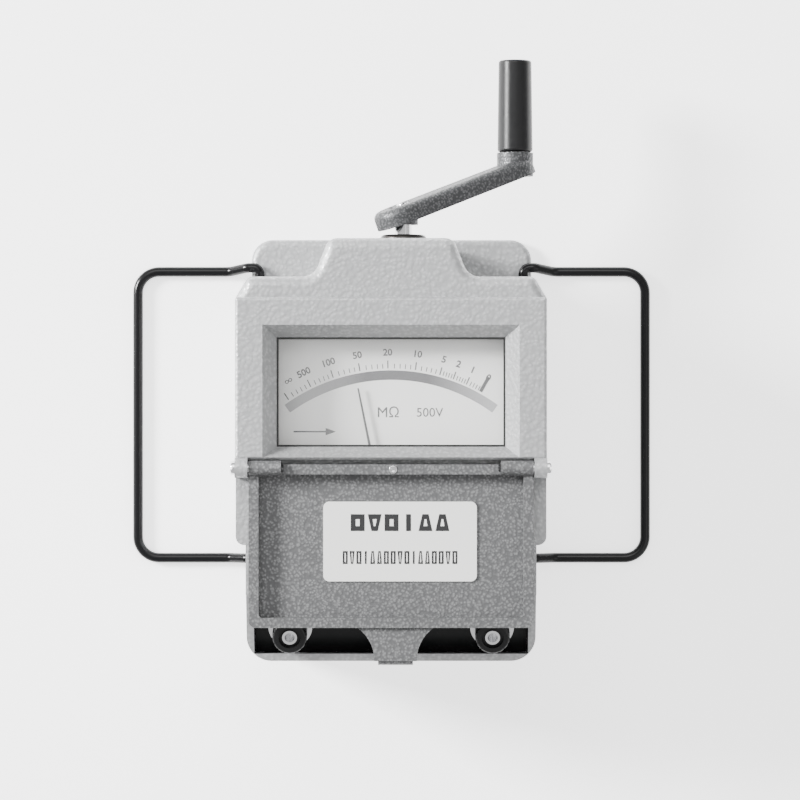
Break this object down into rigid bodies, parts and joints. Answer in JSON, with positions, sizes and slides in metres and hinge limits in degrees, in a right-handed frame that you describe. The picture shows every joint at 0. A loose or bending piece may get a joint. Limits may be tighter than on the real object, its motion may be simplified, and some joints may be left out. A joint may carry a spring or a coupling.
{
  "type": "hand-crank insulation resistance tester",
  "caption": "Hand-cranked insulation resistance tester with window dial, lid folded open, two fold-out steadying legs and clamp terminals.",
  "frame": {"origin": "middle of the case's flat resting rim", "axes": "+Z out of the dial, +Y towards the crank end, +X to the right of the reader"},
  "size_m": [0.2202, 0.2473, 0.104],
  "materials": {
    "hammertone": "silver hammertone paint",
    "lid_paint": "grey hammertone paint",
    "steel": "plain steel",
    "bright_steel": "nickel-plated",
    "black_wire": "gloss black enamel",
    "arm_paint": "dark pewter hammertone",
    "black_moulding": "polished black moulding",
    "brass": "turned brass",
    "glass": "clear pane",
    "dial_white": "matt white",
    "label_white": "matt white",
    "magnet": "ground alloy",
    "laminations": "varnished sheet iron",
    "copper": "enamelled copper wire",
    "board": "paper laminate",
    "electrical": "moulded cases",
    "insulation": "sleeved wire",
    "bronze": "darkened bronze",
    "pointer_black": "matt black"
  },
  "bodies": {
    "instrument": {"case": "hammertone", "base_plate": "hammertone", "base_screws": "steel", "bezel": "hammertone", "bezel_screws": "steel", "window_glass": "glass", "glass_clips": "steel", "dial_plate": "dial_white", "dial_bracket": "steel", "movement_screws": "steel", "meter_magnet": "magnet", "pole_shoes": "magnet", "meter_core": "magnet", "top_bridge": "brass", "lower_bridge": "brass", "jewel_screws": "brass", "meter_cradle": "steel", "lid_hinge_screws": "bright_steel", "crank_bush": "bronze", "front_gear_plate": "steel", "rear_gear_plate": "steel", "gear_pillars": "steel", "gear_frame_screws": "steel", "stator_core": "laminations", "stator_coils": "copper", "generator_bell": "steel", "generator_spacers": "steel", "generator_bolts": "steel", "circuit_board": "board", "board_screws": "steel", "capacitors": "electrical", "board_parts": "electrical", "terminal_panel": "black_moulding", "panel_screws": "steel", "terminal_collars": "bright_steel", "terminal_posts": "bright_steel", "terminal_fixings": "brass", "internal_leads": "insulation"},
    "crank": {"crank_arm": "arm_paint", "crank_shaft": "bright_steel", "crank_hub_screw": "bright_steel", "grip_spindle": "bright_steel", "drive_gear": "brass"},
    "grip": {"crank_grip": "black_moulding"},
    "middle_arbor": {"middle_arbor": "steel", "second_gear": "brass"},
    "rotor": {"rotor_shaft": "steel", "rotor_magnet": "magnet"},
    "lid": {"lid": "lid_paint", "lid_label": "label_white"},
    "right_leg": {"right_leg": "black_wire"},
    "left_leg": {"left_leg": "black_wire"},
    "pointer": {"pointer": "pointer_black", "pivot_staff": "steel", "moving_coils": "copper"},
    "right_washer": {"right_washer": "bright_steel"},
    "right_knob": {"right_knob": "black_moulding"},
    "left_washer": {"left_washer": "bright_steel"},
    "left_knob": {"left_knob": "black_moulding"}
  },
  "joints": [
    {"name": "crank_spin", "type": "hinge", "parent": "instrument", "child": "crank", "pos_m": [0.005, 0.06, 0.062], "axis": [0, 1, 0], "continuous": true},
    {"name": "grip_spin", "type": "hinge", "parent": "crank", "child": "grip", "pos_m": [0.05136, 0.14, 0.04327], "axis": [0, 1, 0], "continuous": true},
    {"name": "middle_arbor_spin", "type": "hinge", "parent": "instrument", "child": "middle_arbor", "pos_m": [-0.01999, 0.05, 0.0454], "axis": [0, 1, 0], "continuous": true},
    {"name": "rotor_spin", "type": "hinge", "parent": "instrument", "child": "rotor", "pos_m": [-0.00001, 0.03, 0.02939], "axis": [0, 1, 0], "continuous": true},
    {"name": "lid_hinge", "type": "hinge", "parent": "instrument", "child": "lid", "pos_m": [0, -0.0068, 0.1], "axis": [-1, 0, 0], "range_deg": [0, 180]},
    {"name": "right_leg_fold", "type": "hinge", "parent": "instrument", "child": "right_leg", "pos_m": [0.056, 0, 0.008], "axis": [0, -1, 0], "range_deg": [0, 84]},
    {"name": "left_leg_fold", "type": "hinge", "parent": "instrument", "child": "left_leg", "pos_m": [-0.056, 0, 0.008], "axis": [0, 1, 0], "range_deg": [0, 84]},
    {"name": "pointer_swing", "type": "hinge", "parent": "instrument", "child": "pointer", "pos_m": [0, -0.041, 0.084], "axis": [0, 0, 1], "range_deg": [-47.4, 24.6]},
    {"name": "right_washer_lift", "type": "slide", "parent": "instrument", "child": "right_washer", "axis": [0, -0.342, 0.9397], "range_m": [0, 0.0021]},
    {"name": "right_knob_turn", "type": "hinge", "parent": "right_washer", "child": "right_knob", "pos_m": [0.041, -0.07243, 0.07743], "axis": [0, -0.342, 0.9397], "range_deg": [0, 1080]},
    {"name": "left_washer_lift", "type": "slide", "parent": "instrument", "child": "left_washer", "axis": [0, -0.342, 0.9397], "range_m": [0, 0.0021]},
    {"name": "left_knob_turn", "type": "hinge", "parent": "left_washer", "child": "left_knob", "pos_m": [-0.041, -0.07243, 0.07743], "axis": [0, -0.342, 0.9397], "range_deg": [0, 1080]}
  ],
  "couplings": [
    {"joint": "middle_arbor_spin", "follows": "crank_spin", "ratio": -4},
    {"joint": "rotor_spin", "follows": "crank_spin", "ratio": 14.286},
    {"joint": "right_knob_turn", "follows": "right_washer_lift", "rad_per_m": 8976},
    {"joint": "left_knob_turn", "follows": "left_washer_lift", "rad_per_m": 8976}
  ]
}
